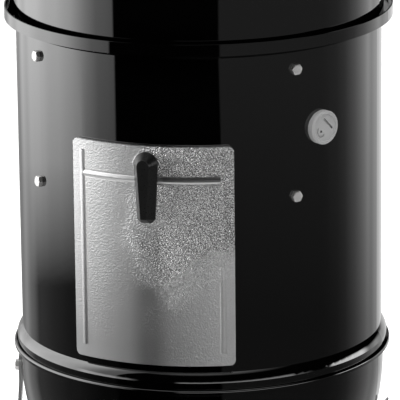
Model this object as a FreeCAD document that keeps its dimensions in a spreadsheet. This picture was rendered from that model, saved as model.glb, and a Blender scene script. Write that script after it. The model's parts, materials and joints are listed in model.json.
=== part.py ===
"""Vertical water smoker: domed lid, chamber with a door, charcoal bowl on three legs.

Millimetres. The origin is on the floor under the upright axis, +Z is up and the door faces -Y.
An azimuth is an angle about +Z, 0 at the door and growing towards +X.
"""
import FreeCAD, Part
import math
import os
import re
import Sketcher

DIMENSIONS = {
    # enamelled steel sheet and clearances
    "gauge": 1.5,
    "gap": 0.3,
    # charcoal bowl: rolled lip, side arc, shoulder arc, round bottom
    "rim_height": 345.0,
    "lip_radius": 246.0,
    "lip_depth": 5.5,
    "lip_round": 2.4,
    "bowl_radius": 237.5,
    "bowl_side_top": 320.0,
    "bowl_side_arc": 300.0,
    "bowl_side_sweep": 14.0,
    "bowl_shoulder": 140.0,
    "bowl_sweep": 66.0,
    # bowl vents: a flat pressed seat and a shutter on each
    "vent_elevation": -33.0,
    "vent_seat_radius": 48.0,
    "vent_hole_radius": 9.0,
    "vent_hole_circle": 26.0,
    "vent_azimuth": -17.4,
    "shutter_radius": 44.0,
    "shutter_gauge": 1.2,
    "shutter_tab_reach": 62.0,
    "shutter_tab_width": 20.0,
    "rivet_radius": 3.0,
    "rivet_head": 6.5,
    # legs
    "leg_azimuth": 42.6,
    "leg_gauge": 4.0,
    "leg_width": 26.0,
    "leg_top": 316.7,
    "leg_kink": 280.0,
    "leg_foot_radius": 262.0,
    "leg_foot_length": 34.0,
    "leg_bolt_height": 300.0,
    # ash shield
    "ash_radius": 190.0,
    "ash_height": 76.0,
    "ash_gauge": 1.2,
    "ash_tab_radius": 250.8,
    # charcoal grate and ring
    "coal_grate_radius": 215.0,
    "coal_grate_height": 225.0,
    "coal_wire": 3.0,
    "coal_ring_radius": 180.0,
    "coal_ring_height": 138.0,
    "coal_hole_radius": 8.0,
    # chamber
    "drum_radius": 235.0,
    "skirt_radius": 242.0,
    "skirt_top": 354.0,
    "flare_top": 366.0,
    "flare_round": 20.0,
    "ledge_height": 771.0,
    "flange_radius": 249.5,
    "flange_foot": 777.0,
    "flange_top": 792.0,
    # door opening and door
    "opening_half_angle": 23.2,
    "opening_foot": 388.5,
    "opening_top": 648.0,
    "door_radius": 241.3,
    "door_gauge": 1.2,
    "door_half_angle": 25.6,
    "door_foot": 376.5,
    "door_top": 660.0,
    "door_corner": 7.0,
    "rib_angle": 22.0,
    "rib_width": 8.0,
    "rib_height": 1.8,
    "rib_foot": 393.0,
    "rib_cross": 617.0,
    "rib_top": 648.0,
    "boss_radius": 17.0,
    "boss_drop": 4.0,
    "hook_azimuth": 13.0,
    "hook_width": 12.0,
    "hook_reach": 6.0,
    # latch
    "latch_height": 640.0,
    "spindle_radius": 3.0,
    "tongue_radius": 230.0,
    "tongue_length": 26.0,
    "tongue_width": 12.0,
    "knob_half_width": 15.5,
    "knob_tip_half_width": 11.5,
    "knob_drop": 75.5,
    "knob_standoff": 6.0,
    "knob_skirt": 2.5,
    "knob_taper": -30.0,
    "knob_face": 265.0,
    # straps that carry both cooking grates and the water pan
    "strap_gauge": 2.0,
    "strap_width": 20.0,
    "strap_azimuth": 46.0,
    "strap_shelf": 762.0,
    "strap_step": 577.0,
    "strap_foot": 551.0,
    "bolt_high": 749.6,
    "bolt_low": 586.5,
    "bolt_radius": 2.5,
    "bolt_head": 6.2,
    "bolt_proud": 5.0,
    "nut_radius": 5.0,
    "nut_length": 4.0,
    "hex_radius": 7.4,
    "hex_height": 5.6,
    "hex_shank": 3.0,
    # grates
    "top_grate_radius": 214.0,
    "low_grate_radius": 216.0,
    "grate_wire": 3.0,
    "grate_rod": 2.2,
    "grate_handle": 40.0,
    # water pan
    "pan_rim_radius": 209.0,
    "pan_radius": 199.0,
    "pan_foot_radius": 150.0,
    "pan_depth": 120.0,
    # probe grommet
    "grommet_azimuth": 55.8,
    "grommet_height": 669.5,
    "grommet_radius": 21.6,
    "grommet_neck": 12.0,
    "grommet_proud": 8.2,
    "slit_length": 20.0,
    "slit_width": 2.8,
    "slit_side": 5.2,
    "slit_rise": 4.4,
    "probe_side": 6.3,
    "probe_sink": 4.2,
    "grommet_dish": 1.2,
    "moat_wire": 1.3,
    "probe_hole": 1.7,
    "probe_moat": 6.5,
    # lid
    "lid_radius": 238.0,
    "lid_foot": 774.8,
    "lid_wall_top": 850.0,
    "lid_shoulder": 100.0,
    "lid_sweep": 61.5,
    "lid_vent_elevation": 70.0,
    "lid_shutter_radius": 44.0,
    # lid handle
    "handle_half_span": 50.0,
    "handle_rise": 1022.0,
    "handle_top": 1041.0,
    "handle_strip": 3.0,
    "handle_width": 22.0,
    "grip_half_length": 58.0,
    # thermometer
    "gauge_elevation": 66.0,
    "gauge_radius": 25.0,
    "gauge_depth": 11.0,
    "stem_radius": 2.5,
    "stem_length": 62.0,
    "needle_length": 16.0,
}
SHUTTERS = 3
LEGS = 3
STRAPS = 4
VENT_HOLES = 3
COAL_HOLES = 20
COAL_HOLE_ROWS = 4
Z_AXIS = FreeCAD.Vector(0, 0, 1)
X_AXIS = FreeCAD.Vector(1, 0, 0)

doc = FreeCAD.newDocument("water_smoker")
sheet = doc.addObject("Spreadsheet::Sheet", "dims")
pieces = []


def fill_sheet():
    """Write one row for each driving dimension: its name, then its number under that alias."""
    for row, (name, number) in enumerate(DIMENSIONS.items(), start=1):
        sheet.set(f"A{row}", name)
        sheet.set(f"B{row}", str(number))
        sheet.setAlias(f"B{row}", name)
    doc.recompute()


def bound(text):
    """Point every dimension name in an expression at its cell."""
    return re.sub(r"[A-Za-z_]\w*", lambda word: "dims." * (word[0] in DIMENSIONS) + word[0], str(text))


def value(text):
    """Work an expression out from the sheet, as a plain number."""
    result = sheet.evalExpression(bound(text))
    return float(getattr(result, "Value", result))


def bind(thing, **sizes):
    """Bind properties of a document object to expressions in the sheet's dimensions."""
    for name, text in sizes.items():
        thing.setExpression(name, bound(text))


# ---------------------------------------------------------------- places


def at(x=0.0, y=0.0, z=0.0, rotation=None):
    return FreeCAD.Placement(FreeCAD.Vector(x, y, z), rotation or FreeCAD.Rotation())


def facing(azimuth):
    """Turn a piece drawn towards local +X so that it looks along an azimuth."""
    return at(rotation=FreeCAD.Rotation(Z_AXIS, azimuth - 90))


def outward(azimuth, radius, height, elevation=0.0):
    """Local +Z leaves the surface, local +Y runs up it, and local +X goes round it."""
    lean = FreeCAD.Rotation(X_AXIS, 90 - elevation)
    turn = FreeCAD.Rotation(Z_AXIS, azimuth)
    angle = math.radians(azimuth)
    return at(radius * math.sin(angle), -radius * math.cos(angle), height, turn * lean)


def on_circle(count, radius, start=0.0):
    """Points spaced evenly on a circle in the local XY plane."""
    for index in range(count):
        angle = math.radians(start + 360.0 * index / count)
        yield radius * math.cos(angle), radius * math.sin(angle)


# ---------------------------------------------------------------- sketches and features


def keep(thing, label, placement=None):
    """Make a document object one of the sub-parts, under its own label."""
    thing.Label = label
    if placement is not None:
        thing.Placement = placement
    pieces.append(thing)
    return thing


def arc_middle(start, end, radius, side):
    """Middle point of the minor arc from start to end, its centre on the left (1) or right (-1)."""
    chord = end - start
    rise = math.sqrt(max(radius**2 - (chord.Length / 2) ** 2, 0.0))
    left = FreeCAD.Vector(-chord.y, chord.x, 0).normalize()
    centre = (start + end) * 0.5 + left * (side * rise)
    return centre - left * (side * radius)


def place_corner(sketch, geometry, vertex, corner):
    """Hold one corner of an outline at its two coordinates."""
    for axis, kind, text in ((-2, "DistanceX", corner[0]), (-1, "DistanceY", corner[1])):
        number = value(text)
        if abs(number) < 1e-9:
            sketch.addConstraint(Sketcher.Constraint("PointOnObject", geometry, vertex, axis))
            continue
        index = sketch.addConstraint(Sketcher.Constraint(kind, -1, 1, geometry, vertex, number))
        sketch.setExpression(f"Constraints[{index}]", bound(text))


def outline(body, corners, plane):
    """Closed sketch through corners (x, y); an arc to the next one adds (radius, side)."""
    sketch = body.newObject("Sketcher::SketchObject", "outline")
    support = [item for item in body.Origin.OriginFeatures if item.Role == plane][0]
    sketch.AttachmentSupport = (support, [""])
    sketch.MapMode = "FlatFace"
    points = [FreeCAD.Vector(value(corner[0]), value(corner[1]), 0) for corner in corners]
    ends = []
    for index, corner in enumerate(corners):
        start = points[index]
        end = points[(index + 1) % len(points)]
        if len(corner) == 2:
            geometry = sketch.addGeometry(Part.LineSegment(start, end))
        else:
            middle = arc_middle(start, end, value(corner[2]), corner[3])
            geometry = sketch.addGeometry(Part.Arc(start, middle, end))
            bend = sketch.addConstraint(Sketcher.Constraint("Radius", geometry, value(corner[2])))
            sketch.setExpression(f"Constraints[{bend}]", bound(corner[2]))
        forward = sketch.getPoint(geometry, 1).distanceToPoint(start) < 1e-6
        ends.append((geometry, 1, 2) if forward else (geometry, 2, 1))
    for index, corner in enumerate(corners):
        geometry, first, _ = ends[index]
        before, _, last = ends[index - 1]
        sketch.addConstraint(Sketcher.Constraint("Coincident", before, last, geometry, first))
        place_corner(sketch, geometry, first, corner)
    return sketch


def turned(name, corners, sweep=None):
    """Body turned about the upright axis; with a sweep it is a slice centred on local +X."""
    body = doc.addObject("PartDesign::Body", name)
    feature = body.newObject("PartDesign::Revolution", "turn")
    feature.Profile = outline(body, corners, "XZ_Plane")
    feature.ReferenceAxis = (feature.Profile[0], ["V_Axis"])
    if sweep is None:
        feature.Angle = 360
    else:
        feature.Midplane = True
        bind(feature, Angle=sweep)
    body.Tip = feature
    return body


def extruded(name, corners, length, plane="XZ_Plane", centred=True):
    """Body padded from a closed outline."""
    body = doc.addObject("PartDesign::Body", name)
    feature = body.newObject("PartDesign::Pad", "pad")
    feature.Profile = outline(body, corners, plane)
    feature.Midplane = centred
    bind(feature, Length=length)
    body.Tip = feature
    return body


def rounded(body, radius, wanted):
    """Fillet the edges of the body's tip for which wanted(edge) is true."""
    doc.recompute()
    tip = body.Tip
    names = [f"Edge{index}" for index, edge in enumerate(tip.Shape.Edges, start=1) if wanted(edge)]
    feature = body.newObject("PartDesign::Fillet", "round")
    feature.Base = (tip, names)
    bind(feature, Radius=radius)
    body.Tip = feature
    return body


def cylinder(radius, length, placement=None):
    tool = doc.addObject("Part::Cylinder", "rod")
    bind(tool, Radius=radius, Height=length)
    tool.Placement = placement or at()
    return tool


def block(length, width, height, placement=None):
    """Box centred on its local X and Y, standing on local Z = 0."""
    tool = doc.addObject("Part::Box", "block")
    bind(tool, Length=length, Width=width, Height=height)
    shift = at(-value(length) / 2, -value(width) / 2, 0)
    tool.Placement = (placement or at()) * shift
    return tool


def ball(radius, placement):
    tool = doc.addObject("Part::Sphere", "ball")
    bind(tool, Radius=radius)
    tool.Placement = placement
    return tool


def torus(radius, wire, placement=None, sweep=360.0):
    tool = doc.addObject("Part::Torus", "loop")
    bind(tool, Radius1=radius, Radius2=wire)
    tool.Angle3 = sweep
    tool.Placement = placement or at()
    return tool


def hexagon(circumradius, length, placement=None):
    tool = doc.addObject("Part::Prism", "hexagon")
    tool.Polygon = 6
    bind(tool, Circumradius=circumradius, Height=length)
    tool.Placement = placement or at()
    return tool


def fused(shapes, name="fused"):
    feature = doc.addObject("Part::MultiFuse", name)
    feature.Shapes = shapes
    return feature


def cut(base, tools, name="cut"):
    feature = doc.addObject("Part::Cut", name)
    feature.Base = base
    feature.Tool = tools[0] if len(tools) == 1 else fused(tools)
    return feature


def group(solids, name="group"):
    feature = doc.addObject("Part::Compound", name)
    feature.Links = solids
    return feature


def is_radial(edge):
    """True for the four straight edges of a sector that point at its axis."""
    straight = len(edge.Vertexes) == 2 and abs(edge.Vertexes[0].Z - edge.Vertexes[1].Z) < 0.001
    return straight and isinstance(edge.Curve, Part.Line)


def sector(name, inner, outer, foot, top, sweep):
    """Slice of a tube between two radii and two heights, centred on local +X."""
    corners = [(inner, foot), (outer, foot), (outer, top), (inner, top)]
    return turned(name, corners, sweep)


def dome_bolt(name, head, proud, shank, length):
    """Domed head standing on local Z = 0, with its shank going down."""
    dome = f"(({head})^2 + ({proud} - 1)^2) / (2 * ({proud} - 1))"
    corners = [
        ("0", f"-({length})"),
        (shank, f"-({length})"),
        (shank, "0"),
        (head, "0"),
        (head, "1", dome, 1),
        ("0", proud),
    ]
    return turned(name, corners)


def hex_bolt(place, length):
    """Chamfered hexagon head standing outward from its placement, with its shank going in."""
    cone = turned("chamfer", [("0", "0"), ("hex_radius", "0"), ("hex_radius", "hex_height - 1.2"),
                              ("hex_radius - 1.6", "hex_height"), ("0", "hex_height")])
    head = doc.addObject("Part::MultiCommon", "head")
    head.Shapes = [hexagon("hex_radius", "hex_height"), cone]
    shank = cylinder("hex_shank", f"{length} + 1", at(z=-value(length)))
    bolt = fused([head, shank], "bolt")
    bolt.Placement = place
    return bolt


def make_nut(place, size="nut_radius", length="nut_length", bore="bolt_radius"):
    """Hexagon nut standing outward from its placement."""
    nut = cut(hexagon(size, length), [cylinder(f"{bore} + 0.05", 20, at(z=-5))])
    nut.Placement = place
    return nut


def hex_nut(place):
    return make_nut(place, "hex_radius", "hex_height", "hex_shank")


# ---------------------------------------------------------------- base


def bowl_station(depth):
    """Ends of the bowl's arcs, for a surface lying depth inside the outer face."""
    side_r = f"(bowl_radius - bowl_side_arc + (bowl_side_arc - {depth}) * cos(bowl_side_sweep * 1deg))"
    side_z = f"(bowl_side_top - (bowl_side_arc - {depth}) * sin(bowl_side_sweep * 1deg))"
    shoulder_r = f"({BOWL_CENTRE_R} + (bowl_shoulder - {depth}) * cos(bowl_sweep * 1deg))"
    shoulder_z = f"({BOWL_CENTRE_Z} - (bowl_shoulder - {depth}) * sin(bowl_sweep * 1deg))"
    bottom_arc = f"(bowl_shoulder - {depth} + {BOWL_CENTRE_R} / cos(bowl_sweep * 1deg))"
    bottom_z = f"({BOWL_CENTRE_Z} + {BOWL_CENTRE_R} * tan(bowl_sweep * 1deg) - {bottom_arc})"
    return side_r, side_z, shoulder_r, shoulder_z, bottom_arc, bottom_z


BOWL_CENTRE_R = (
    "(bowl_radius - bowl_side_arc + (bowl_side_arc - bowl_shoulder) * cos(bowl_side_sweep * 1deg))"
)
BOWL_CENTRE_Z = "(bowl_side_top - (bowl_side_arc - bowl_shoulder) * sin(bowl_side_sweep * 1deg))"


def bowl_solid(name, depth, rim):
    """Solid of revolution under one face of the bowl's sheet, closed at the top by rim's corners."""
    side_r, side_z, shoulder_r, shoulder_z, bottom_arc, bottom_z = bowl_station(depth)
    corners = [
        ("0", bottom_z, bottom_arc, 1),
        (shoulder_r, shoulder_z, f"bowl_shoulder - {depth}", 1),
        (side_r, side_z, f"bowl_side_arc - {depth}", 1),
        (f"bowl_radius - {depth}", "bowl_side_top"),
    ]
    return turned(name, corners + rim)


def vent_place(azimuth):
    """Middle of a bowl vent, on the tangent plane of the bowl's outer face."""
    angle = math.radians(value("vent_elevation"))
    reach = value("bowl_shoulder")
    radius = value(BOWL_CENTRE_R) + reach * math.cos(angle)
    height = value(BOWL_CENTRE_Z) + reach * math.sin(angle)
    return outward(azimuth, radius, height, value("vent_elevation"))


def vent_azimuths():
    return [value("vent_azimuth") + index * 360.0 / SHUTTERS for index in range(SHUTTERS)]


def leg_azimuths():
    return [value("leg_azimuth") + index * 360.0 / LEGS for index in range(LEGS)]


def vent_cutters(place, depth):
    """Three air holes and the rivet hole of one vent."""
    spots = on_circle(VENT_HOLES, value("vent_hole_circle"), 30)
    tools = [cylinder("vent_hole_radius", depth * 2, place * at(x, y, -depth)) for x, y in spots]
    return tools + [cylinder("rivet_radius + 0.1", depth * 2, place * at(z=-depth))]


def make_bowl():
    lip_foot = "rim_height - lip_depth"
    outer_rim = [
        ("bowl_radius", "rim_height - lip_depth - 4"),
        ("lip_radius", lip_foot),
        ("lip_radius", "rim_height - lip_round", "lip_round", 1),
        ("lip_radius - lip_round", "rim_height"),
        ("0", "rim_height"),
    ]
    inner_rim = [
        ("bowl_radius - gauge", "rim_height - lip_depth - 3"),
        ("bowl_radius - 0.5", "rim_height - lip_depth + 0.2"),
        ("lip_radius - gauge - 1", "rim_height - lip_depth + 0.2"),
        ("lip_radius - gauge - 1", "rim_height + 10"),
        ("0", "rim_height + 10"),
    ]
    outer = bowl_solid("bowl_outer", "0", outer_rim)
    inner = bowl_solid("bowl_inner", "gauge", inner_rim)
    places = [vent_place(azimuth) for azimuth in vent_azimuths()]
    depth = 20.0
    seats = [cylinder("vent_seat_radius", depth, place * at(z=-depth)) for place in places]
    hollows = [
        cylinder("vent_seat_radius - gauge", depth, place * at(z=-depth - value("gauge")))
        for place in places
    ]
    drills = [tool for place in places for tool in vent_cutters(place, depth)]
    for azimuth in leg_azimuths():
        place = outward(azimuth, value("bowl_radius") - depth, value("leg_bolt_height"))
        drills.append(cylinder("hex_shank + 0.25", depth * 2, place))
    keep(cut(fused([outer] + seats), [inner] + hollows + drills), "bowl_shell")


def make_shutter(label, place):
    """Rotary shutter: a disc with three holes and a finger tab, lying on its seat."""
    thickness = "shutter_gauge"
    tab_end = "shutter_tab_reach - shutter_tab_width / 2"
    disc = cylinder("shutter_radius", thickness)
    tab = block("shutter_tab_width", tab_end, thickness, at(y=value(tab_end) / 2))
    tip = cylinder("shutter_tab_width / 2", thickness, at(y=value(tab_end)))
    spots = on_circle(VENT_HOLES, value("vent_hole_circle"), 30)
    holes = [cylinder("vent_hole_radius", 6, at(x, y, -2)) for x, y in spots]
    pivot = cylinder("rivet_radius + 0.05", 6, at(z=-2))
    lift = at(z=value("gap"))
    keep(cut(fused([disc, tab, tip]), holes + [pivot]), label, place * lift)


def make_rivet(place, thickness):
    """Pivot rivet with a domed head outside and a round tail inside."""
    stack = f"({thickness} + shutter_gauge + gap * 2)"
    corners = [
        ("0", f"-{stack} - 2.5"),
        ("rivet_radius + 1.5", f"-{stack} - 2.5"),
        ("rivet_radius + 1.5", f"-{stack}"),
        ("rivet_radius", f"-{stack}"),
        ("rivet_radius", "0"),
        ("rivet_head", "0"),
        ("rivet_head", "0.8"),
        ("rivet_head - 2.5", "2.6"),
        ("0", "2.6"),
    ]
    rivet = turned("rivet", corners)
    rivet.Placement = place * at(z=value("shutter_gauge + gap * 2"))
    return rivet


def make_bowl_vents():
    rivets = []
    for index, azimuth in enumerate(vent_azimuths(), start=1):
        place = vent_place(azimuth)
        make_shutter(f"bowl_damper_{index}", place)
        rivets.append(make_rivet(place, "gauge"))
    keep(group(rivets), "bowl_damper_rivets")


def make_legs():
    """Flat strips: flat against the bowl, kinked outward, then bent in to a short foot."""
    inner = "(bowl_radius + 0.2)"
    outer = f"({inner} + leg_gauge)"
    foot_outer = "leg_foot_radius"
    corners = [
        (inner, "leg_top"),
        (inner, "leg_kink"),
        (f"{foot_outer} - leg_gauge", "leg_gauge"),
        (f"{foot_outer} - leg_foot_length", "leg_gauge"),
        (f"{foot_outer} - leg_foot_length", "0"),
        (foot_outer, "0"),
        (outer, "leg_kink"),
        (outer, "leg_top"),
    ]

    def heel(edge):
        middle = edge.CenterOfMass
        across = abs(edge.tangentAt(edge.FirstParameter).y) > 0.99
        return across and middle.x > value("leg_foot_radius") - 1 and middle.z < 1

    def top_corner(edge):
        return edge.CenterOfMass.z > value("leg_top") - 0.1 and edge.Length < value("leg_gauge") + 0.1

    for index, azimuth in enumerate(leg_azimuths(), start=1):
        body = extruded("leg", corners, "leg_width")
        rounded(body, "leg_gauge - 0.3", heel)
        rounded(body, "leg_width / 3", top_corner)
        body.Placement = facing(azimuth)
        drill_depth = 20.0
        bolt_hole = outward(azimuth, value("bowl_radius") - 5, value("leg_bolt_height"))
        screw_hole = outward(azimuth, value("ash_tab_radius") - 5, value("ash_height") + 10)
        drills = [cylinder("hex_shank + 0.25", drill_depth, bolt_hole)]
        drills.append(cylinder("bolt_radius + 0.25", drill_depth, screw_hole))
        keep(cut(body, drills), f"leg_{index}")


def make_leg_fasteners():
    bolts = []
    nuts = []
    face = value("bowl_radius + leg_gauge") + 0.25
    seat = value("bowl_radius - hex_height") - 3.0
    for azimuth in leg_azimuths():
        bolts.append(hex_bolt(outward(azimuth, face, value("leg_bolt_height")), "leg_gauge + gauge + 8"))
        nuts.append(hex_nut(outward(azimuth, seat, value("leg_bolt_height"))))
    keep(group(bolts), "leg_bolts")
    keep(group(nuts), "leg_nuts")


def leg_outer_radius(height):
    """Outer face of a leg at a height between its foot and its kink."""
    share = value(f"(leg_kink - {height}) / leg_kink")
    top = value("bowl_radius + 0.2 + leg_gauge")
    return top + share * (value("leg_foot_radius") - top)


def make_ash_shield():
    """Round plate under the bowl; three arms end in upright tabs screwed to the legs."""
    plate = [cylinder("ash_radius", "ash_gauge", at(z=value("ash_height")))]
    drills = []
    screws = []
    tab_middle = value("ash_height") + 10
    for azimuth in leg_azimuths():
        turn = facing(azimuth)
        arm = "ash_tab_radius - ash_radius + 20"
        arm_middle = value(f"ash_tab_radius - ({arm}) / 2")
        plate.append(block(arm, 20, "ash_gauge", turn * at(arm_middle, 0, value("ash_height"))))
        tab_x = value("ash_tab_radius - ash_gauge / 2")
        plate.append(block("ash_gauge", 20, 20, turn * at(tab_x, 0, value("ash_height"))))
        place = outward(azimuth, value("ash_tab_radius"), tab_middle)
        drills.append(cylinder("bolt_radius + 0.1", 20, place * at(z=-10)))
        screw = dome_bolt("screw", "bolt_head - 1.5", "bolt_proud - 1.5", "bolt_radius", 14)
        head_seat = leg_outer_radius(tab_middle) + 0.5
        screw.Placement = outward(azimuth, head_seat, tab_middle)
        screws.append(screw)
    keep(cut(fused(plate), drills), "ash_shield")
    keep(group(screws), "ash_shield_screws")


def rod_lengths(radius, pitch, count):
    """Offsets and half lengths of parallel rods that end inside a ring's wire."""
    for index in range(-count, count + 1):
        offset = index * pitch
        yield offset, math.sqrt(radius**2 - offset**2)


def make_grate(label, radius, wire, rod, height, pitch, count):
    """Welded wire grate: ring, parallel rods and two cross rods below."""
    solids = [torus(radius, wire, at(z=height))]
    along_x = FreeCAD.Rotation(FreeCAD.Vector(0, 1, 0), 90)
    along_y = FreeCAD.Rotation(X_AXIS, -90)
    for offset, half in rod_lengths(value(radius), pitch, count):
        solids.append(cylinder(rod, 2 * half, at(-half, offset, height, along_x)))
    below = height - 1.6 * value(rod)
    for offset, half in rod_lengths(value(radius), 0.45 * value(radius), 1):
        if offset:
            solids.append(cylinder(rod, 2 * half, at(offset, -half, below, along_y)))
    keep(fused(solids), label)


def make_grate_handles(label, radius, rod, height):
    """Two half-round wire bails standing across the rods, one near each side of a grate."""
    upright = FreeCAD.Rotation(Z_AXIS, 90) * FreeCAD.Rotation(X_AXIS, 90)
    foot = height + value(rod) + 0.05
    bails = [
        torus("grate_handle", rod, at(side * 0.8 * value(radius), 0, foot, upright), sweep=180.0)
        for side in (-1, 1)
    ]
    keep(group(bails), label)


def make_charcoal_ring():
    """Perforated steel band that stands on the charcoal grate."""
    foot = value("coal_grate_height + coal_wire + gap")
    corners = [
        ("coal_ring_radius - gauge", "0"),
        ("coal_ring_radius", "0"),
        ("coal_ring_radius", "coal_ring_height"),
        ("coal_ring_radius - gauge", "coal_ring_height"),
    ]
    band = turned("band", corners)
    holes = []
    for row in range(COAL_HOLE_ROWS):
        height = value("coal_ring_height") * (row + 0.5) / COAL_HOLE_ROWS
        for index in range(COAL_HOLES):
            azimuth = 360.0 * (index + 0.5 * (row % 2)) / COAL_HOLES
            place = outward(azimuth, value("coal_ring_radius") - 10, height)
            holes.append(cylinder("coal_hole_radius", 20, place))
    keep(cut(band, [group(holes)]), "charcoal_ring", at(z=foot))


def make_base():
    make_bowl()
    make_bowl_vents()
    make_legs()
    make_leg_fasteners()
    make_ash_shield()
    make_grate("charcoal_grate", "coal_grate_radius", "coal_wire", "coal_wire - 0.2",
               value("coal_grate_height"), 22.0, 9)
    make_charcoal_ring()


# ---------------------------------------------------------------- chamber


def strap_azimuths():
    start = value("strap_azimuth")
    return [start + index * 360.0 / STRAPS for index in range(STRAPS)]


def make_chamber_wall():
    """Drum with a flared foot, a ledge and lip at the top, a door opening and drilled holes."""
    inner = "drum_radius - gauge"
    corners = [
        ("skirt_radius", "rim_height - lip_depth + 0.6"),
        ("skirt_radius", "skirt_top", "flare_round", 1),
        ("drum_radius", "flare_top"),
        ("drum_radius", "ledge_height"),
        ("flange_radius", "flange_foot"),
        ("flange_radius", "flange_top"),
        ("flange_radius - gauge", "flange_top"),
        ("flange_radius - gauge", "flange_foot + 1"),
        (inner, "ledge_height + 1.2"),
        (inner, "flare_top - 0.9", "flare_round - gauge", -1),
        ("skirt_radius - gauge", "skirt_top - 0.3"),
        ("skirt_radius - gauge", "rim_height - lip_depth + 0.6"),
    ]
    wall = turned("wall", corners)
    sweep = "opening_half_angle * 2"
    opening = sector("opening", "drum_radius - 8", "drum_radius + 4", "opening_foot", "opening_top", sweep)
    rounded(opening, "door_corner - 1", is_radial)
    opening.Placement = facing(0)
    drills = [opening]
    for azimuth in strap_azimuths():
        for height in (value("bolt_high"), value("bolt_low")):
            place = outward(azimuth, value("drum_radius") - 10, height)
            drills.append(cylinder("hex_shank + 0.25", 20, place))
    neck = outward(value("grommet_azimuth"), value("drum_radius") - 15, value("grommet_height"))
    drills.append(cylinder("grommet_neck + gap", 30, neck))
    keep(cut(wall, drills), "chamber_wall")


def make_straps():
    """Bent strips: a shelf for each grate and one for the water pan's rim."""
    back = "(drum_radius - gauge - 0.3)"
    face = f"({back} - strap_gauge)"
    step = "(low_grate_radius - 3)"
    toe = "(pan_rim_radius - 7)"
    corners = [
        ("top_grate_radius - 3", "strap_shelf"),
        (face, "strap_shelf"),
        (face, "strap_step"),
        (step, "strap_step"),
        (step, "strap_foot"),
        (toe, "strap_foot"),
        (toe, "strap_foot - strap_gauge"),
        (f"{step} + strap_gauge", "strap_foot - strap_gauge"),
        (f"{step} + strap_gauge", "strap_step - strap_gauge"),
        (back, "strap_step - strap_gauge"),
        (back, "strap_shelf + strap_gauge"),
        ("top_grate_radius - 3", "strap_shelf + strap_gauge"),
    ]
    for index, azimuth in enumerate(strap_azimuths(), start=1):
        strip = extruded("strap", corners, "strap_width")
        strip.Placement = facing(azimuth)
        drills = [
            cylinder("hex_shank + 0.25", 20, outward(azimuth, value(back) - 10, height))
            for height in (value("bolt_high"), value("bolt_low"))
        ]
        keep(cut(strip, drills), f"grate_strap_{index}")


def make_strap_fasteners():
    bolts = []
    nuts = []
    face = value("drum_radius") + 0.15
    seat = value("drum_radius - gauge - strap_gauge - hex_height") - 0.5
    for azimuth in strap_azimuths():
        for height in (value("bolt_high"), value("bolt_low")):
            bolts.append(hex_bolt(outward(azimuth, face, height), "gauge + strap_gauge + 7"))
            nuts.append(hex_nut(outward(azimuth, seat, height)))
    keep(group(bolts), "strap_bolts")
    keep(group(nuts), "strap_nuts")


def make_grommet():
    """Soft grommet for probe wires: it grips the wall between two flanges and is slit for the wires."""
    dish = "(grommet_proud - grommet_dish)"
    corners = [
        ("0", "-9"),
        ("grommet_neck + 4", "-9"),
        ("grommet_neck + 4", "-gauge - 1.3"),
        ("grommet_neck", "-gauge - 1.3"),
        ("grommet_neck", "-2.2"),
        ("grommet_radius", "-2.2"),
        ("grommet_radius", "grommet_proud - 1.5"),
        ("grommet_radius - 1.5", "grommet_proud"),
        ("grommet_radius - 3.5", "grommet_proud"),
        ("grommet_radius - 4.5", dish),
        ("0", dish),
    ]
    body = turned("grommet", corners)
    place = outward(value("grommet_azimuth"), value("drum_radius"), value("grommet_height"))
    body.Placement = place
    drum = cylinder("drum_radius + 0.05", 120, at(z=value("grommet_height") - 60))
    keep_neck = cylinder("grommet_neck", 12, place * at(z=-11))
    keep_flange = cylinder("grommet_neck + 4", 6.2, place * at(z=-9))
    hollow = cut(drum, [keep_neck, keep_flange])
    face = value(dish)
    slant = FreeCAD.Rotation(Z_AXIS, -45)
    slit = block("slit_length", "slit_width", 4,
                 place * at(value("slit_side"), value("slit_rise"), face - 3, slant))
    hole_x = -value("probe_side")
    hole_y = -value("probe_sink")
    hole = cylinder("probe_hole", 30, place * at(hole_x, hole_y, -15))
    half_turn = FreeCAD.Rotation(Z_AXIS, 135)
    moat = torus("probe_moat", "moat_wire", place * at(hole_x, hole_y, face, half_turn), sweep=180.0)
    keep(cut(body, [hollow, slit, hole, moat]), "probe_grommet")


def make_water_pan():
    top = value("strap_foot + gap")
    corners = [
        ("0", "-pan_depth"),
        ("pan_foot_radius", "-pan_depth", "28", 1),
        ("pan_foot_radius + 26", "24 - pan_depth"),
        ("pan_radius", "0"),
        ("pan_rim_radius", "0"),
        ("pan_rim_radius", "gauge"),
        ("pan_radius - gauge", "gauge"),
        ("pan_foot_radius + 26 - gauge", "25 - pan_depth", "28", -1),
        ("pan_foot_radius - gauge", "gauge - pan_depth"),
        ("0", "gauge - pan_depth"),
    ]
    keep(turned("pan", corners), "water_pan", at(z=top))


def make_chamber():
    make_chamber_wall()
    make_straps()
    make_strap_fasteners()
    make_grommet()
    shelf = value("strap_shelf + strap_gauge + grate_wire + gap")
    step = value("strap_step + grate_wire + gap")
    make_grate("top_grate", "top_grate_radius", "grate_wire", "grate_rod", shelf, 20.0, 10)
    make_grate_handles("top_grate_handles", "top_grate_radius", "grate_rod", shelf)
    make_grate("lower_grate", "low_grate_radius", "grate_wire", "grate_rod", step, 20.0, 10)
    make_grate_handles("lower_grate_handles", "low_grate_radius", "grate_rod", step)
    make_water_pan()


# ---------------------------------------------------------------- door


def door_sector(name, inner, outer, foot, top, sweep, azimuth=0.0):
    piece = sector(name, inner, outer, foot, top, sweep)
    piece.Placement = facing(azimuth)
    return piece


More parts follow.
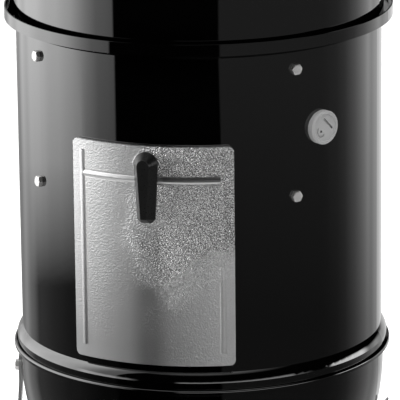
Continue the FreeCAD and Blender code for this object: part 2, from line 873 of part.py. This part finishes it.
def make_door_panel():
    """Curved sheet with turned-in edges, a pressed frame of three ribs and a boss under the knob."""
    sheet_face = "door_radius - door_gauge"
    skin = door_sector("panel", "drum_radius + 1.2", "door_radius", "door_foot",
                       "door_top", "door_half_angle * 2")
    rounded(skin, "door_corner", is_radial)
    edge_angle = "door_gauge / door_radius * 180 / pi"
    hollow = door_sector("hollow", "drum_radius", sheet_face, "door_foot + door_gauge",
                         "door_top - door_gauge", f"(door_half_angle - {edge_angle}) * 2")
    rounded(hollow, "door_corner - door_gauge", is_radial)
    keep(cut(fused([cut(skin, [hollow]), make_pressing()]), [spindle_hole()]), "door_panel")


def make_pressing():
    """Two upright ribs, a cross rib and the boss, each a low round ridge on the sheet's face."""
    wire = "((rib_width / 2)^2 + rib_height^2) / (2 * rib_height)"
    centre = f"(door_radius + rib_height - {wire})"
    ridges = []
    for side in (-1, 1):
        foot = outward(side * value("rib_angle"), value(centre), value("rib_foot"))
        ridges.append(cylinder(wire, "rib_top - rib_foot", at(foot.Base.x, foot.Base.y, foot.Base.z)))
    start = FreeCAD.Rotation(Z_AXIS, -90 - value("rib_angle"))
    ridges.append(torus(centre, wire, at(z=value("rib_cross"), rotation=start), value("rib_angle") * 2))
    dome = "((boss_radius^2 + rib_height^2) / (2 * rib_height))"
    middle = outward(0, value(f"door_radius + rib_height - {dome}"), value("latch_height - boss_drop"))
    ridges.append(ball(dome, middle))
    inside = cylinder("door_radius - 0.4", "door_top + 200")
    return cut(fused(ridges), [inside])


def spindle_hole():
    return cylinder("spindle_radius + 0.4", 20, outward(0, value("door_radius") - 10, value("latch_height")))


def make_door_hooks():
    """Two strips spot-welded inside the door's foot; each reaches in and drops behind the wall."""
    back = "(door_radius - door_gauge - 0.2)"
    inside = "(drum_radius - gauge - hook_reach)"
    corners = [
        (back, "opening_foot + 22"),
        (f"{back} - 1.5", "opening_foot + 22"),
        (f"{back} - 1.5", "opening_foot + 2.5"),
        (f"{inside} - 1.5", "opening_foot + 2.5"),
        (f"{inside} - 1.5", "opening_foot - 5"),
        (inside, "opening_foot - 5"),
        (inside, "opening_foot + 1"),
        (back, "opening_foot + 1"),
    ]
    hooks = []
    for side in (-1, 1):
        hook = extruded("hook", corners, "hook_width")
        hook.Placement = facing(side * value("hook_azimuth"))
        hooks.append(hook)
    keep(group(hooks), "door_hooks")


def make_knob():
    """Teardrop knob on a round hub: a skirt, then sides leaning in to a narrow face."""
    side = "knob_half_width"
    tip = "knob_tip_half_width"
    corners = [
        (side, "0", side, 1),
        ("0", side, side, 1),
        (f"-{side}", "0"),
        (f"-{tip}", "5 - knob_drop"),
        (f"5 - {tip}", "-knob_drop"),
        (f"{tip} - 5", "-knob_drop"),
        (tip, "5 - knob_drop"),
    ]
    face = value("door_radius + rib_height") + 0.4
    rise = f"(knob_face - {face} - knob_standoff - knob_skirt)"
    skirt = extruded("skirt", corners, "knob_skirt", "XY_Plane", centred=False)
    skirt.Placement = at(z=value("knob_standoff"))
    blade = extruded("blade", corners, rise, "XY_Plane", centred=False)
    bind(blade.Tip, TaperAngle="knob_taper")
    top = value(rise)
    rounded(blade, "1.6", lambda edge: abs(edge.CenterOfMass.z - top) < 0.01)
    blade.Placement = at(z=value("knob_standoff + knob_skirt"))
    hub = cylinder("10", "knob_standoff + 1")
    bore = cylinder("spindle_radius + 0.05", 18, at(z=-2))
    keep(cut(fused([skirt, blade, hub]), [bore]), "door_knob", outward(0, face, value("latch_height")))


def make_latch():
    """Spindle through the door and the tongue behind the wall that it turns."""
    length = value("door_radius + rib_height") + 12 - value("tongue_radius")
    corners = [
        ("0", "-3.4"),
        ("5.5", "-3.4"),
        ("5.5", "-0.4"),
        ("spindle_radius", "-0.4"),
        ("spindle_radius", f"{length}"),
        ("0", f"{length}"),
    ]
    place = outward(0, value("tongue_radius"), value("latch_height"))
    keep(turned("spindle", corners), "door_latch_spindle", place)
    arm = block("tongue_width", "tongue_length", 1.6, at(y=-value("tongue_length") / 2))
    eye = cylinder("tongue_width / 2", 1.6)
    bore = cylinder("spindle_radius + 0.05", 6, at(z=-2))
    keep(cut(fused([arm, eye]), [bore]), "door_latch_tongue", place)


def make_door():
    make_door_panel()
    make_door_hooks()
    make_knob()
    make_latch()


# ---------------------------------------------------------------- lid

LID_CENTRE_R = "(lid_radius - lid_shoulder)"
LID_CROWN_CENTRE = f"(lid_wall_top - {LID_CENTRE_R} * tan(lid_sweep * 1deg))"
LID_CROWN_RADIUS = f"(lid_shoulder + {LID_CENTRE_R} / cos(lid_sweep * 1deg))"


def lid_surface(azimuth, elevation, rise=0.0):
    """Place on the round crown of the lid, local +Z along its normal."""
    angle = math.radians(elevation)
    reach = value(LID_CROWN_RADIUS) + rise
    height = value(LID_CROWN_CENTRE) + reach * math.sin(angle)
    return outward(azimuth, reach * math.cos(angle), height, elevation)


def lid_height_at(radius):
    return value(LID_CROWN_CENTRE) + math.sqrt(value(LID_CROWN_RADIUS) ** 2 - radius**2)


def make_lid_shell():
    shoulder_r = f"({LID_CENTRE_R} + lid_shoulder * cos(lid_sweep * 1deg))"
    shoulder_z = "(lid_wall_top + lid_shoulder * sin(lid_sweep * 1deg))"
    inner_r = f"({LID_CENTRE_R} + (lid_shoulder - gauge) * cos(lid_sweep * 1deg))"
    inner_z = "(lid_wall_top + (lid_shoulder - gauge) * sin(lid_sweep * 1deg))"
    corners = [
        ("lid_radius", "lid_foot"),
        ("lid_radius", "lid_wall_top", "lid_shoulder", 1),
        (shoulder_r, shoulder_z, LID_CROWN_RADIUS, 1),
        ("0", f"{LID_CROWN_CENTRE} + {LID_CROWN_RADIUS}"),
        ("0", f"{LID_CROWN_CENTRE} + {LID_CROWN_RADIUS} - gauge", f"{LID_CROWN_RADIUS} - gauge", -1),
        (inner_r, inner_z, "lid_shoulder - gauge", -1),
        ("lid_radius - gauge", "lid_wall_top"),
        ("lid_radius - gauge", "lid_foot"),
    ]
    shell = turned("dome", corners)
    vent = lid_surface(180, value("lid_vent_elevation"))
    drills = vent_cutters(vent, 15.0)
    drills.append(cylinder("stem_radius + 0.6", 30, lid_surface(0, value("gauge_elevation"), -15)))
    for place in handle_screw_places():
        drills.append(cylinder("bolt_radius + 0.1", 30, place * at(z=-15)))
    keep(cut(shell, drills), "lid_shell")


def make_lid_damper():
    """Dished rotary shutter that follows the crown, with three holes and a raised finger tab."""
    under = f"({LID_CROWN_RADIUS} + gap)"
    over = f"({under} + shutter_gauge)"
    edge = "lid_shutter_radius"
    drop = LID_CROWN_RADIUS
    corners = [
        ("0", f"{under} - {drop}", under, -1),
        (edge, f"sqrt({under}^2 - {edge}^2) - {drop}"),
        (edge, f"sqrt({over}^2 - {edge}^2) - {drop}", over, 1),
        ("0", f"{over} - {drop}"),
    ]
    disc = turned("shutter", corners)
    tab = block(18, 2, 12, at(y=value(edge) - 6, z=-1.0))
    spots = on_circle(VENT_HOLES, value("vent_hole_circle"), 30)
    holes = [cylinder("vent_hole_radius", 12, at(x, y, -6)) for x, y in spots]
    pivot = cylinder("rivet_radius + 0.05", 12, at(z=-6))
    place = lid_surface(180, value("lid_vent_elevation"))
    keep(cut(fused([disc, tab]), holes + [pivot]), "lid_damper", place)
    keep(group([make_rivet(place, "gauge + 0.2")]), "lid_damper_rivet")


def handle_screw_places():
    """Middle of each of the bracket's feet, on the lid's crown."""
    lean = math.degrees(math.asin(value("handle_half_span") / value(LID_CROWN_RADIUS)))
    return [lid_surface(side * 90, 90 - lean) for side in (-1, 1)]


def make_handle():
    """Bent strip with two feet on the crown, a nylon grip on top and their screws."""
    half = value("handle_half_span")
    strip = value("handle_strip")
    toe = half + 13
    heel = half - 11
    corners = [
        (toe, lid_height_at(toe) + 0.4),
        (toe, lid_height_at(toe) + 0.4 + strip),
        (heel + 2, lid_height_at(heel) + 0.5 + strip),
        ("grip_half_length - 12", "handle_rise"),
        ("12 - grip_half_length", "handle_rise"),
        (-heel - 2, lid_height_at(heel) + 0.5 + strip),
        (-toe, lid_height_at(toe) + 0.4 + strip),
        (-toe, lid_height_at(toe) + 0.4),
        (1.5 - heel, lid_height_at(heel) + 0.5),
        ("12 + handle_strip - grip_half_length", "handle_rise - handle_strip"),
        ("grip_half_length - 12 - handle_strip", "handle_rise - handle_strip"),
        (heel - 1.5, lid_height_at(heel) + 0.5),
    ]
    strap = extruded("bracket", corners, "handle_width")
    drills = [cylinder("bolt_radius + 0.15", 30, place * at(z=-10)) for place in handle_screw_places()]
    grip_holes = [at(side * value("grip_half_length - 28"), 0, value("handle_rise") - 10) for side in (-1, 1)]
    drills += [cylinder("bolt_radius + 0.15", 20, place) for place in grip_holes]
    keep(cut(strap, drills), "lid_handle_bracket")
    screws = []
    nuts = []
    for place in handle_screw_places():
        screw = dome_bolt("screw", "bolt_head - 1", "bolt_proud - 1", "bolt_radius",
                          "gauge + handle_strip + 7")
        screw.Placement = place * at(z=strip + 0.75)
        screws.append(screw)
        nuts.append(make_nut(place * at(z=-value("gauge + nut_length") - 0.4)))
    keep(group(screws), "lid_handle_screws")
    keep(group(nuts), "lid_handle_nuts")
    make_grip()


def make_grip():
    """Rounded bar over the bracket, held by two screws from below."""
    length = "grip_half_length * 2"
    foot = "handle_rise + 0.1"
    corners = [("-13", foot), ("13", foot), ("13", "handle_top"), ("-13", "handle_top")]
    bar = extruded("grip", corners, length, "YZ_Plane")
    crest = value("handle_top") - 0.01

    def long_top(edge):
        return edge.CenterOfMass.z > crest and abs(edge.CenterOfMass.x) < 0.01

    def end_face(edge):
        return abs(abs(edge.CenterOfMass.x) - value("grip_half_length")) < 0.01

    rounded(bar, "7", long_top)
    rounded(bar, "3", end_face)
    places = [at(side * value("grip_half_length - 28"), 0, value("handle_rise")) for side in (-1, 1)]
    bores = [cylinder("bolt_radius + 0.05", 12, place * at(z=-1)) for place in places]
    keep(cut(bar, bores), "lid_handle_grip")
    flip = FreeCAD.Rotation(X_AXIS, 180)
    screws = []
    for place in places:
        screw = dome_bolt("screw", "bolt_head - 1.5", "bolt_proud - 1.5", "bolt_radius", "handle_strip + 8")
        screw.Placement = place * at(z=-value("handle_strip") - 0.1, rotation=flip)
        screws.append(screw)
    keep(group(screws), "lid_grip_screws")


def make_thermometer():
    """Dial gauge: cup case, dial, pointer, clear cover, probe stem and the nut that holds it."""
    place = lid_surface(0, value("gauge_elevation"), 0.9)
    rim = "gauge_radius"
    case = [
        ("stem_radius + 0.05", "0"),
        ("gauge_radius - 4", "0"),
        (rim, "4"),
        (rim, "gauge_depth"),
        ("gauge_radius - 2.5", "gauge_depth"),
        ("gauge_radius - 2.5", "gauge_depth - 1"),
        ("gauge_radius - 1.2", "gauge_depth - 1"),
        ("gauge_radius - 1.2", "4.6"),
        ("gauge_radius - 4.6", "1.2"),
        ("stem_radius + 0.05", "1.2"),
    ]
    keep(turned("case", case), "thermometer_case", place)
    lens = [("0", "gauge_depth - 2.6"), ("gauge_radius - 1.4", "gauge_depth - 2.6"),
            ("gauge_radius - 1.4", "gauge_depth - 1.1"), ("0", "gauge_depth - 1.1")]
    keep(turned("lens", lens), "thermometer_lens", place)
    dial = [("stem_radius + 0.1", "5"), ("gauge_radius - 1.5", "5"),
            ("gauge_radius - 1.5", "5.6"), ("stem_radius + 0.1", "5.6")]
    keep(turned("dial", dial), "thermometer_dial", place)
    stem = [("0", "-stem_length"), ("stem_radius - 0.6", "-stem_length"), ("stem_radius", "3 - stem_length"),
            ("stem_radius", "5.7"), ("0.9", "5.7"), ("0.9", "7.2"), ("0", "7.2")]
    keep(turned("stem", stem), "thermometer_stem", place)
    nut = hexagon("8", "4")
    bore = cylinder("stem_radius + 0.1", 10, at(z=-2))
    keep(cut(nut, [bore]), "thermometer_nut", place * at(z=-value("gauge") - 5.4))
    hub = cylinder("2.2", "0.6")
    hand = block("1.2", "needle_length", "0.6", at(y=value("needle_length") / 2))
    tail = block("2", "6", "0.6", at(y=-3))
    pin_hole = cylinder("0.95", 4, at(z=-1))
    rest_turn = at(z=6.2, rotation=FreeCAD.Rotation(Z_AXIS, 135))
    keep(cut(fused([hub, hand, tail]), [pin_hole]), "thermometer_needle", place * rest_turn)


def make_lid():
    make_lid_shell()
    make_lid_damper()
    make_handle()
    make_thermometer()


# ---------------------------------------------------------------- checks and files


def check_document():
    """Stop if any object failed to recompute."""
    for thing in doc.Objects:
        if {"Invalid", "Error"} & set(thing.State):
            raise RuntimeError(f"{thing.Name} ({thing.Label}) failed: {thing.State}")


def check_piece(piece):
    shape = piece.Shape
    if shape.isNull() or not shape.isValid() or not shape.Solids:
        raise RuntimeError(f"{piece.Label} has no valid solid")
    if shape.Volume <= 0:
        raise RuntimeError(f"{piece.Label} is inside out")


def write_pieces():
    os.makedirs("parts", exist_ok=True)
    for piece in pieces:
        piece.Shape.exportStep(f"parts/{piece.Label}.step")
        print(f"{piece.Label}: {len(piece.Shape.Solids)} solids, {piece.Shape.Volume / 1000:.2f} cm3")


def main():
    fill_sheet()
    make_base()
    make_chamber()
    make_door()
    make_lid()
    doc.recompute()
    check_document()
    for piece in pieces:
        check_piece(piece)
    write_pieces()


main()
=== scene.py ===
"""Looks for the vertical water smoker: materials, studio surroundings and the camera.

Metres, in the part's own frame: +Z up from the floor, the upright axis through the origin and the
door facing -Y. An azimuth is an angle about +Z in degrees, 0 at the door and growing towards +X.
"""

import json
import math

import bpy
import numpy as np
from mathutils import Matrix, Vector

CAMERA_AZIMUTH = 15.58
CAMERA_PITCH = 15.56
CAMERA_ROLL = 0.63
CAMERA_DISTANCE = 5.009
CAMERA_HEIGHT = 1.921
LENS = 359.5
SHIFT = (-0.0015, -0.0005)

# Studio radiance by azimuth away from the camera's (positive to its right), tuned by tone
# so that upright enamel reflects the wanted bands from this camera.
STUDIO = (
    (-180, 0.3), (-170, 0.35), (-159, 0.49), (-149, 1.18), (-140, 1.27), (-134, 1.71), (-120, 2.09),
    (-109, 1.97), (-99, 2.06), (-86, 1.71), (-74, 0.93), (-66, 0.55), (-59, 0.48), (-54.0, 0.41),
    (-53.7, 0.0),
    (11.9, 0.0), (12.2, 0.095), (60, 0.095), (83, 0.093), (95, 0.12), (104, 0.20), (115, 0.46),
    (128, 0.92), (133, 1.15), (139, 0.85), (149, 0.95), (160, 1.2), (180, 0.8),
)
STUDIO_PEAK = 4.0
BOX_RADIANCE = 1.4
STRIP_OVER_BOX = 2.6

# The pressed cross rib of the door: height of its middle, and how far it reaches to each side.
DOOR_RIB_HEIGHT = 0.617
DOOR_RIB_REACH = 0.088

FLOOR_REACH = 60.0


class Graph:
    """A node tree under construction. Numbers, colours and sockets can all be inputs."""

    def __init__(self, tree):
        self.tree = tree
        tree.nodes.clear()

    def add(self, kind, inputs=None, output=0, **settings):
        node = self.tree.nodes.new(kind)
        for name, setting in settings.items():
            setattr(node, name, setting)
        for key, content in (inputs or {}).items():
            self.feed(node.inputs[key], content)
        return node.outputs[output] if node.outputs else node

    def feed(self, socket, content):
        if isinstance(content, bpy.types.NodeSocket):
            self.tree.links.new(content, socket)
        else:
            socket.default_value = content

    def math(self, operation, *terms, clamp=False):
        return self.add("ShaderNodeMath", dict(enumerate(terms)), operation=operation, use_clamp=clamp)

    def vector(self, operation, *terms, output=0):
        return self.add("ShaderNodeVectorMath", dict(enumerate(terms)), output, operation=operation)

    def remap(self, factor, low, high, to_low=0.0, to_high=1.0, smooth=False):
        kind = "SMOOTHSTEP" if smooth else "LINEAR"
        inputs = {0: factor, 1: low, 2: high, 3: to_low, 4: to_high}
        return self.add("ShaderNodeMapRange", inputs, interpolation_type=kind)

    def noise(self, place, scale, detail=2.0, roughness=0.5, distortion=0.0):
        inputs = {"Vector": place, "Scale": scale, "Detail": detail, "Roughness": roughness}
        inputs["Distortion"] = distortion
        return self.add("ShaderNodeTexNoise", inputs)

    def stretched(self, place, factors):
        return self.vector("MULTIPLY", place, factors)

    def blend(self, factor, first, second):
        inputs = {"Factor": factor, 6: first, 7: second}
        return self.add("ShaderNodeMix", inputs, 2, data_type="RGBA")

    def bump(self, height, strength, distance, normal=None):
        inputs = {"Height": height, "Strength": strength, "Distance": distance}
        if normal is not None:
            inputs["Normal"] = normal
        return self.add("ShaderNodeBump", inputs)

    def place(self):
        return self.add("ShaderNodeTexCoord", output=3)


def new_material(name):
    material = bpy.data.materials.new(name)
    material.use_nodes = True
    return material, Graph(material.node_tree)


def grey(level, warmth=0.0):
    return (level * (1 + warmth), level, level * (1 - warmth), 1.0)


def finish_surface(graph, inputs):
    """Principled shader from inputs, linked to the material's output."""
    shader = graph.add("ShaderNodeBsdfPrincipled", inputs)
    graph.add("ShaderNodeOutputMaterial", {"Surface": shader})


def enamel():
    material, graph = new_material("black_enamel")
    place = graph.place()
    mottle = graph.noise(place, 14.0, 4.0, 0.6)
    peel = graph.noise(place, 120.0, 2.0)
    pits = graph.noise(place, 900.0, 1.0)
    speck = graph.remap(pits, 0.70, 0.78, 0.0, 1.0)
    colour = graph.blend(mottle, grey(0.0002), grey(0.0006))
    roughness = graph.remap(mottle, 0.3, 0.7, 0.018, 0.035)
    rougher = graph.math("ADD", roughness, graph.math("MULTIPLY", speck, 0.08))
    normal = graph.bump(peel, 0.02, 0.0002)
    finish_surface(graph, {"Base Color": colour, "Roughness": rougher, "IOR": 2.0, "Normal": normal})
    return material


def hammered():
    """Embossed aluminium: facets of about 2 mm over a fine grain, strong only at the door's upper right.

    Painted shade and reflection by place on the door: painted shade darker towards the foot, a painted
    shade streak below the knob and a painted dark reflection on the upper side of the cross rib's right
    half.
    """
    material, graph = new_material("hammered_aluminium")
    place = graph.place()
    cells = graph.add("ShaderNodeTexVoronoi", {"Vector": place, "Scale": 430.0})
    facets = graph.math("ADD", cells, graph.noise(place, 700.0, 1.0, 0.5))
    grain = graph.noise(place, 1300.0, 1.0)
    cloud = graph.noise(place, 16.0, 2.0)
    split = graph.tree.nodes.new("ShaderNodeSeparateXYZ")
    graph.feed(split.inputs[0], place)
    x, _, z = split.outputs
    drift = graph.math("MULTIPLY", graph.math("SUBTRACT", cloud, 0.5), 0.10)
    sideways = graph.remap(graph.math("ADD", x, drift), -0.035, 0.03, 0.12, 1.0, smooth=True)
    slant = graph.math("ADD", z, graph.math("MULTIPLY", x, -0.5))
    upright = graph.remap(graph.math("ADD", slant, drift), 0.425, 0.50, 0.12, 1.0, smooth=True)
    over_rib = graph.math("SUBTRACT", z, DOOR_RIB_HEIGHT)
    beyond = graph.remap(graph.math("ABSOLUTE", x), DOOR_RIB_REACH, DOOR_RIB_REACH + 0.002, 0.0, 0.01)
    from_rib = graph.math("MAXIMUM", graph.math("ABSOLUTE", over_rib), beyond)
    pressed = graph.remap(from_rib, 0.003, 0.006, 0.1, 1.0)
    mask = graph.math("MULTIPLY", graph.math("MULTIPLY", sideways, upright), pressed)
    depth = graph.math("MULTIPLY", facets, mask)
    # Painted shade: the door's colour darkens towards its foot, more on its left side.
    foot = graph.remap(x, -0.09, 0.08, 0.42, 0.72)
    shade = graph.remap(z, 0.40, 0.60, foot, 0.88)
    # Painted shade: a dark upright streak below the knob, ending above a height of about 0.53 to 0.57 m.
    painted_streak_across = graph.remap(graph.math("ABSOLUTE", x), 0.004, 0.030, 0.62, 1.0, smooth=True)
    painted_streak_shade = graph.math("MAXIMUM", painted_streak_across, graph.remap(z, 0.53, 0.57))
    # Painted reflection: a dark band on the upper side of the cross rib's right half.
    near_rib = graph.remap(from_rib, 0.004, 0.006, 0.8, 0.0)
    upper_flank = graph.math("MULTIPLY", graph.remap(over_rib, -0.002, 0.0), near_rib)
    painted_dark_reflection = graph.math("MULTIPLY", upper_flank, graph.remap(x, 0.0, 0.02))
    painted_shade_factor = graph.math("MULTIPLY", painted_streak_shade, graph.math("SUBTRACT", 1.0, painted_dark_reflection))
    pits = graph.remap(graph.noise(place, 820.0, 0.0), 0.38, 0.62, 0.40, 1.03)
    pitted = graph.math("ADD", 1.0, graph.math("MULTIPLY", mask, graph.math("SUBTRACT", pits, 1.0)))
    tone = graph.math("MULTIPLY", shade, graph.math("MULTIPLY", painted_shade_factor, pitted))
    colour = graph.blend(cloud, tone, graph.math("MULTIPLY", tone, 1.08))
    roughness = graph.remap(mask, 0.1, 1.0, 0.42, 0.23)
    normal = graph.bump(grain, 0.08, 0.0002, graph.bump(depth, 1.0, 0.0016))
    finish_surface(
        graph, {"Base Color": colour, "Metallic": 1.0, "Roughness": roughness, "Normal": normal}
    )
    return material


def metal(name, level, roughness, streak=(1.0, 1.0, 1.0), scale=120.0, depth=0.15, warmth=0.0):
    """A bare or plated metal with fine streaks or grain and a cloudy change of gloss."""
    material, graph = new_material(name)
    place = graph.place()
    cloud = graph.noise(place, 30.0, 3.0)
    lines = graph.noise(graph.stretched(place, streak), scale, 3.0, 0.6)
    colour = graph.blend(cloud, grey(level * 0.9, warmth), grey(level, warmth))
    gloss = graph.remap(lines, 0.3, 0.7, roughness * 0.8, roughness * 1.25)
    normal = graph.bump(lines, depth, 0.0002)
    finish_surface(graph, {"Base Color": colour, "Metallic": 1.0, "Roughness": gloss, "Normal": normal})
    return material


def moulded(name, level, roughness, scale=700.0, depth=0.1, sheen=0.0, warmth=0.0):
    """A moulded polymer with a fine grained skin."""
    material, graph = new_material(name)
    place = graph.place()
    cloud = graph.noise(place, 40.0, 3.0)
    grain = graph.noise(place, scale, 2.0, 0.6)
    colour = graph.blend(cloud, grey(level * 0.88, warmth), grey(level * 1.08, warmth))
    gloss = graph.remap(grain, 0.3, 0.7, roughness * 0.85, roughness * 1.2)
    normal = graph.bump(grain, depth, 0.0002)
    inputs = {"Base Color": colour, "Roughness": gloss, "Normal": normal, "Sheen Weight": sheen}
    finish_surface(graph, inputs)
    return material


def glass():
    material, graph = new_material("clear_glass")
    haze = graph.noise(graph.place(), 200.0, 2.0)
    gloss = graph.remap(haze, 0.3, 0.7, 0.01, 0.04)
    inputs = {"Base Color": grey(0.98), "Roughness": gloss, "IOR": 1.45, "Transmission Weight": 1.0}
    finish_surface(graph, inputs)
    return material


SLOT_MATERIALS = {
    "black_enamel": enamel(),
    "hammered_aluminium": hammered(),
    "raw_aluminium": metal("raw_aluminium", 0.78, 0.38, (1.0, 1.0, 0.05), 300.0, 0.2),
    "damper_aluminium": metal("damper_aluminium", 0.80, 0.30, (0.1, 1.0, 1.0), 400.0, 0.15),
    "black_nylon": moulded("black_nylon", 0.004, 0.30),
    "zinc_steel": metal("zinc_steel", 0.88, 0.48, depth=0.1, warmth=0.01),
    "plated_wire": metal("plated_wire", 0.70, 0.24, (1.0, 1.0, 1.0), 260.0, 0.12),
    "raw_steel": metal("raw_steel", 0.42, 0.45, depth=0.3, warmth=0.03),
    "silicone": moulded("silicone", 0.24, 0.5, 500.0, 0.15, 0.1),
    "dark_bracket": metal("dark_bracket", 0.12, 0.35, depth=0.12),
    "clear_glass": glass(),
    "dial_face": moulded("dial_face", 0.80, 0.4, 900.0, 0.05),
    "needle_paint": moulded("needle_paint", 0.03, 0.35, 900.0, 0.05),
}


def dress_nodes(frame):
    """Gives each carried-over node the material of its slot in the record."""
    slots = {part["node"]: part["material_slot"] for part in frame["record"]["subparts"]}
    for name, obj in frame["nodes"].items():
        obj.data.materials.clear()
        obj.data.materials.append(SLOT_MATERIALS[slots[name]])


def studio_world():
    """Big soft panels round the object, written as radiance by direction: what glossy surfaces show."""
    world = bpy.data.worlds.new("studio")
    bpy.context.scene.world = world
    world.use_nodes = True
    graph = Graph(world.node_tree)
    direction = graph.vector("NORMALIZE", graph.add("ShaderNodeTexCoord", output=0))
    split = graph.tree.nodes.new("ShaderNodeSeparateXYZ")
    graph.feed(split.inputs[0], direction)
    x, y, z = split.outputs
    azimuth = graph.math("ARCTAN2", x, graph.math("MULTIPLY", y, -1.0))
    swing = graph.math("SUBTRACT", graph.math("DEGREES", azimuth), CAMERA_AZIMUTH)
    wrapped = graph.math("WRAP", swing, 180.0, -180.0)
    level = graph.math("DEGREES", graph.math("ARCSINE", z))
    ramp = graph.tree.nodes.new("ShaderNodeValToRGB")
    graph.feed(ramp.inputs[0], graph.remap(wrapped, -180.0, 180.0))
    stops = ramp.color_ramp.elements
    while len(stops) > 1:
        stops.remove(stops[-1])
    for index, (angle, radiance) in enumerate(STUDIO):
        position = (angle + 180.0) / 360.0
        stop = stops[0] if index == 0 else stops.new(position)
        stop.position = position
        stop.color = grey(radiance / STUDIO_PEAK)
    around = graph.math("MULTIPLY", ramp.outputs[0], STUDIO_PEAK)
    on_left = graph.math("LESS_THAN", wrapped, 0.0)
    on_right = graph.math("SUBTRACT", 1.0, on_left)
    slope = graph.remap(level, -15.2, -12.75, 0.84, 1.35)
    edge_glow = graph.remap(wrapped, -160.0, -124.0, 0.9, 0.0)
    left_low = graph.math("MAXIMUM", edge_glow, graph.remap(wrapped, -124.0, -95.0, 0.09, 0.04))
    left_fade = graph.remap(level, -16.75, -15.0, left_low, 1.0)
    right_low = graph.remap(wrapped, 134.0, 160.0, 0.45, 0.85)
    right_fade = graph.remap(level, -17.3, -13.5, right_low, 1.0)
    left_top = graph.remap(level, 50.0, 70.0, 1.0, 0.0, smooth=True)
    right_top = graph.remap(level, 2.0, 12.0, 1.0, 0.0, smooth=True)
    left = graph.math("MULTIPLY", graph.math("MULTIPLY", slope, left_fade), left_top)
    right = graph.math("MULTIPLY", right_fade, right_top)
    left_side = graph.math("MULTIPLY", on_left, left)
    sides = graph.math("ADD", left_side, graph.math("MULTIPLY", on_right, right))
    band = graph.math("MULTIPLY", around, sides)
    overhead = graph.remap(level, 55.0, 80.0, 0.0, 0.9, smooth=True)
    ground = graph.remap(level, -42.0, -30.0, 0.6, 0.0, smooth=True)
    box_start = graph.remap(wrapped, -18.0, -12.0, smooth=True)
    box_end = graph.remap(wrapped, 60.0, 75.0, 1.0, 0.0, smooth=True)
    box_low = graph.remap(level, -7.0, -3.0, smooth=True)
    box_high = graph.remap(level, 9.0, 15.0, 1.0, 0.0, smooth=True)
    left_start = graph.remap(wrapped, -85.0, -75.0, smooth=True)
    left_end = graph.remap(wrapped, -50.0, -38.0, 1.0, 0.0, smooth=True)
    right_box = graph.math("MULTIPLY", box_start, box_end)
    across = graph.math("ADD", right_box, graph.math("MULTIPLY", left_start, left_end))
    strip_start = graph.remap(wrapped, 84.0, 92.0, smooth=True)
    strip_end = graph.remap(wrapped, 112.0, 124.0, STRIP_OVER_BOX, 0.0, smooth=True)
    lit = graph.math("ADD", across, graph.math("MULTIPLY", strip_start, strip_end))
    box = graph.math("MULTIPLY", lit, graph.math("MULTIPLY", box_low, box_high))
    boxes = graph.math("MULTIPLY", box, BOX_RADIANCE)
    upper = graph.math("ADD", graph.math("ADD", overhead, ground), boxes)
    total = graph.math("ADD", band, upper)
    background = graph.add("ShaderNodeBackground", {"Color": grey(1.0), "Strength": total})
    graph.add("ShaderNodeOutputWorld", {"Surface": background})


def studio_floor():
    mesh = bpy.data.meshes.new("floor")
    reach = FLOOR_REACH
    corners = [(-reach, -reach, 0), (reach, -reach, 0), (reach, reach, 0), (-reach, reach, 0)]
    mesh.from_pydata(corners, [], [(0, 1, 2, 3)])
    floor = bpy.data.objects.new("floor", mesh)
    bpy.context.scene.collection.objects.link(floor)
    material, graph = new_material("paper")
    fibre = graph.noise(graph.place(), 3.0, 3.0)
    colour = graph.blend(fibre, grey(0.88), grey(0.92))
    finish_surface(graph, {"Base Color": colour, "Roughness": 0.9})
    mesh.materials.append(material)
    floor.visible_glossy = False


def soft_light(name, azimuth, elevation, distance, size, watts, seen_in_gloss=True):
    """A square area light aimed at the middle of the object, hidden from the camera itself."""
    light = bpy.data.lights.new(name, "AREA")
    light.shape = "SQUARE"
    light.size = size
    light.energy = watts
    obj = bpy.data.objects.new(name, light)
    bpy.context.scene.collection.objects.link(obj)
    swing, rise = math.radians(azimuth), math.radians(elevation)
    ray = Vector((math.sin(swing) * math.cos(rise), -math.cos(swing) * math.cos(rise), math.sin(rise)))
    obj.location = Vector((0, 0, 0.5)) + ray * distance
    obj.rotation_euler = ray.to_track_quat("Z", "Y").to_euler()
    obj.visible_camera = False
    obj.visible_glossy = seen_in_gloss


def studio_camera():
    data = bpy.data.cameras.new("camera")
    data.lens = LENS
    data.sensor_width = 36.0
    data.clip_end = 200.0
    data.shift_x, data.shift_y = SHIFT
    camera = bpy.data.objects.new("camera", data)
    bpy.context.scene.collection.objects.link(camera)
    swing = math.radians(CAMERA_AZIMUTH)
    camera.location = (
        CAMERA_DISTANCE * math.sin(swing), -CAMERA_DISTANCE * math.cos(swing), CAMERA_HEIGHT,
    )
    camera.rotation_euler = (math.radians(90.0 - CAMERA_PITCH), 0.0, swing)
    camera.rotation_euler.rotate_axis("Z", math.radians(-CAMERA_ROLL))
    bpy.context.scene.camera = camera


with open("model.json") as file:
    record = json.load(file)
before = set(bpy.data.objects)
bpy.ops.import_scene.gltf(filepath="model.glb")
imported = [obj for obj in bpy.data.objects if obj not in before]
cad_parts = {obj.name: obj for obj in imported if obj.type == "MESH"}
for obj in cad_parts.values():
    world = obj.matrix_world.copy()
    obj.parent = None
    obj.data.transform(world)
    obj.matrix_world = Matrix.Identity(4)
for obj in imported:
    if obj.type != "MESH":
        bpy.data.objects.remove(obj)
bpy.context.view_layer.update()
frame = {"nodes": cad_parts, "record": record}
dress_nodes(frame)
studio_world()
studio_floor()
soft_light("overhead", 0, 80, 4.0, 4.0, 420, seen_in_gloss=False)
studio_camera()
bpy.context.scene.view_settings.view_transform = "Standard"
